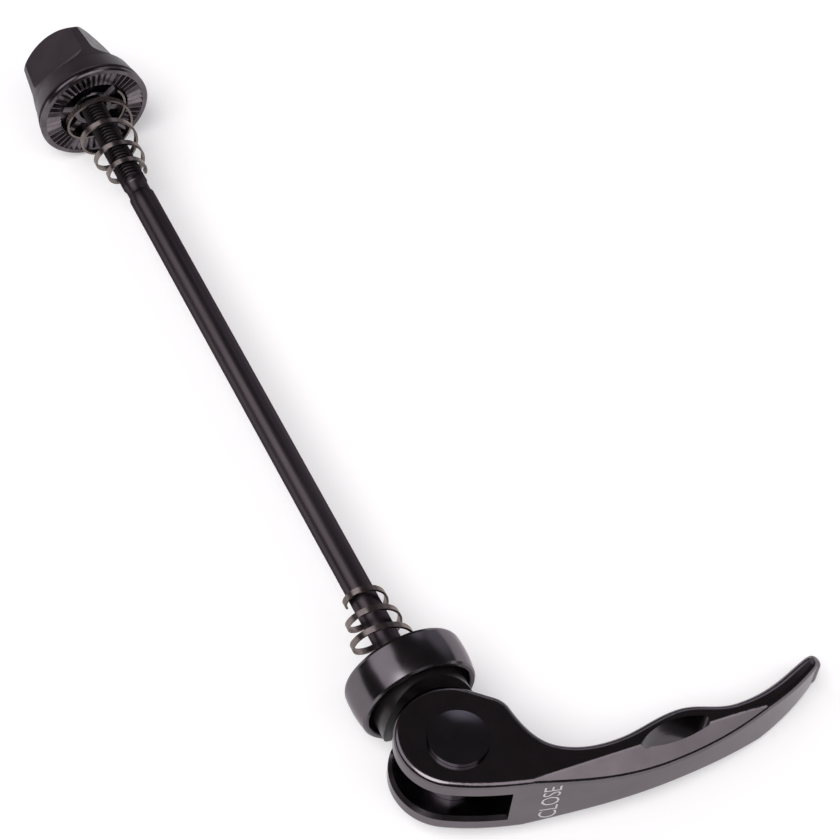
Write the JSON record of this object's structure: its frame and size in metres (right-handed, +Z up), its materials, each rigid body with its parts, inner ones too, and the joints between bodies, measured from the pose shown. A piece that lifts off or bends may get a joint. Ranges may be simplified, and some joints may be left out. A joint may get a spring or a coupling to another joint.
{
  "type": "quick release skewer",
  "caption": "Bicycle wheel quick release skewer: slim rod with a forked cam lever and pressure cup, an opposing serrated thumb nut, and conical flat-wire springs by the clamping faces.",
  "frame": {"origin": "on the rod's axis, in the plane of the cup's serrated clamping face", "axes": "+Y along the rod from the lever to the nut, +X towards the lever's tip with the lever closed, +Z up as the skewer lies on a table"},
  "size_m": [0.0779, 0.1948, 0.0224],
  "materials": {
    "rod_black": "satin black oxide",
    "pin_steel": "bright black",
    "lever_alloy": "glossy black anodised",
    "cup_alloy": "glossy black anodised",
    "saddle_plastic": "satin",
    "spring_steel": "bare spring steel",
    "core_steel": "dark plated",
    "cap_nylon": "satin moulded"
  },
  "bodies": {
    "skewer": {"rod": "rod_black", "cross_pin": "pin_steel"},
    "lever": {"lever": "lever_alloy"},
    "cup": {"cup": "cup_alloy", "cam_saddle": "saddle_plastic", "cup_spring": "spring_steel"},
    "nut_spring": {"nut_spring": "spring_steel"},
    "nut": {"nut_core": "core_steel", "nut_cap": "cap_nylon"}
  },
  "joints": [
    {"name": "lever_turn", "type": "hinge", "parent": "skewer", "child": "lever", "pos_m": [0, -0.02036, 0], "axis": [-0.1028, 0, -0.9947], "range_deg": [0, 140]},
    {"name": "cup_slide", "type": "slide", "parent": "skewer", "child": "cup", "axis": [0, -1, 0], "range_m": [0, 0.0028]},
    {"name": "nut_travel", "type": "slide", "parent": "skewer", "child": "nut_spring", "axis": [0, -1, 0], "range_m": [-0.0049, 0.0209]},
    {"name": "nut_spin", "type": "hinge", "parent": "nut_spring", "child": "nut", "pos_m": [0, 0.145, 0], "axis": [0, -1, 0], "range_deg": [-2160, 9360]}
  ],
  "couplings": [
    {"joint": "cup_slide", "follows": "lever_turn", "m_per_rad": 0.001105},
    {"joint": "nut_travel", "follows": "nut_spin", "m_per_rad": 0.00012732}
  ]
}
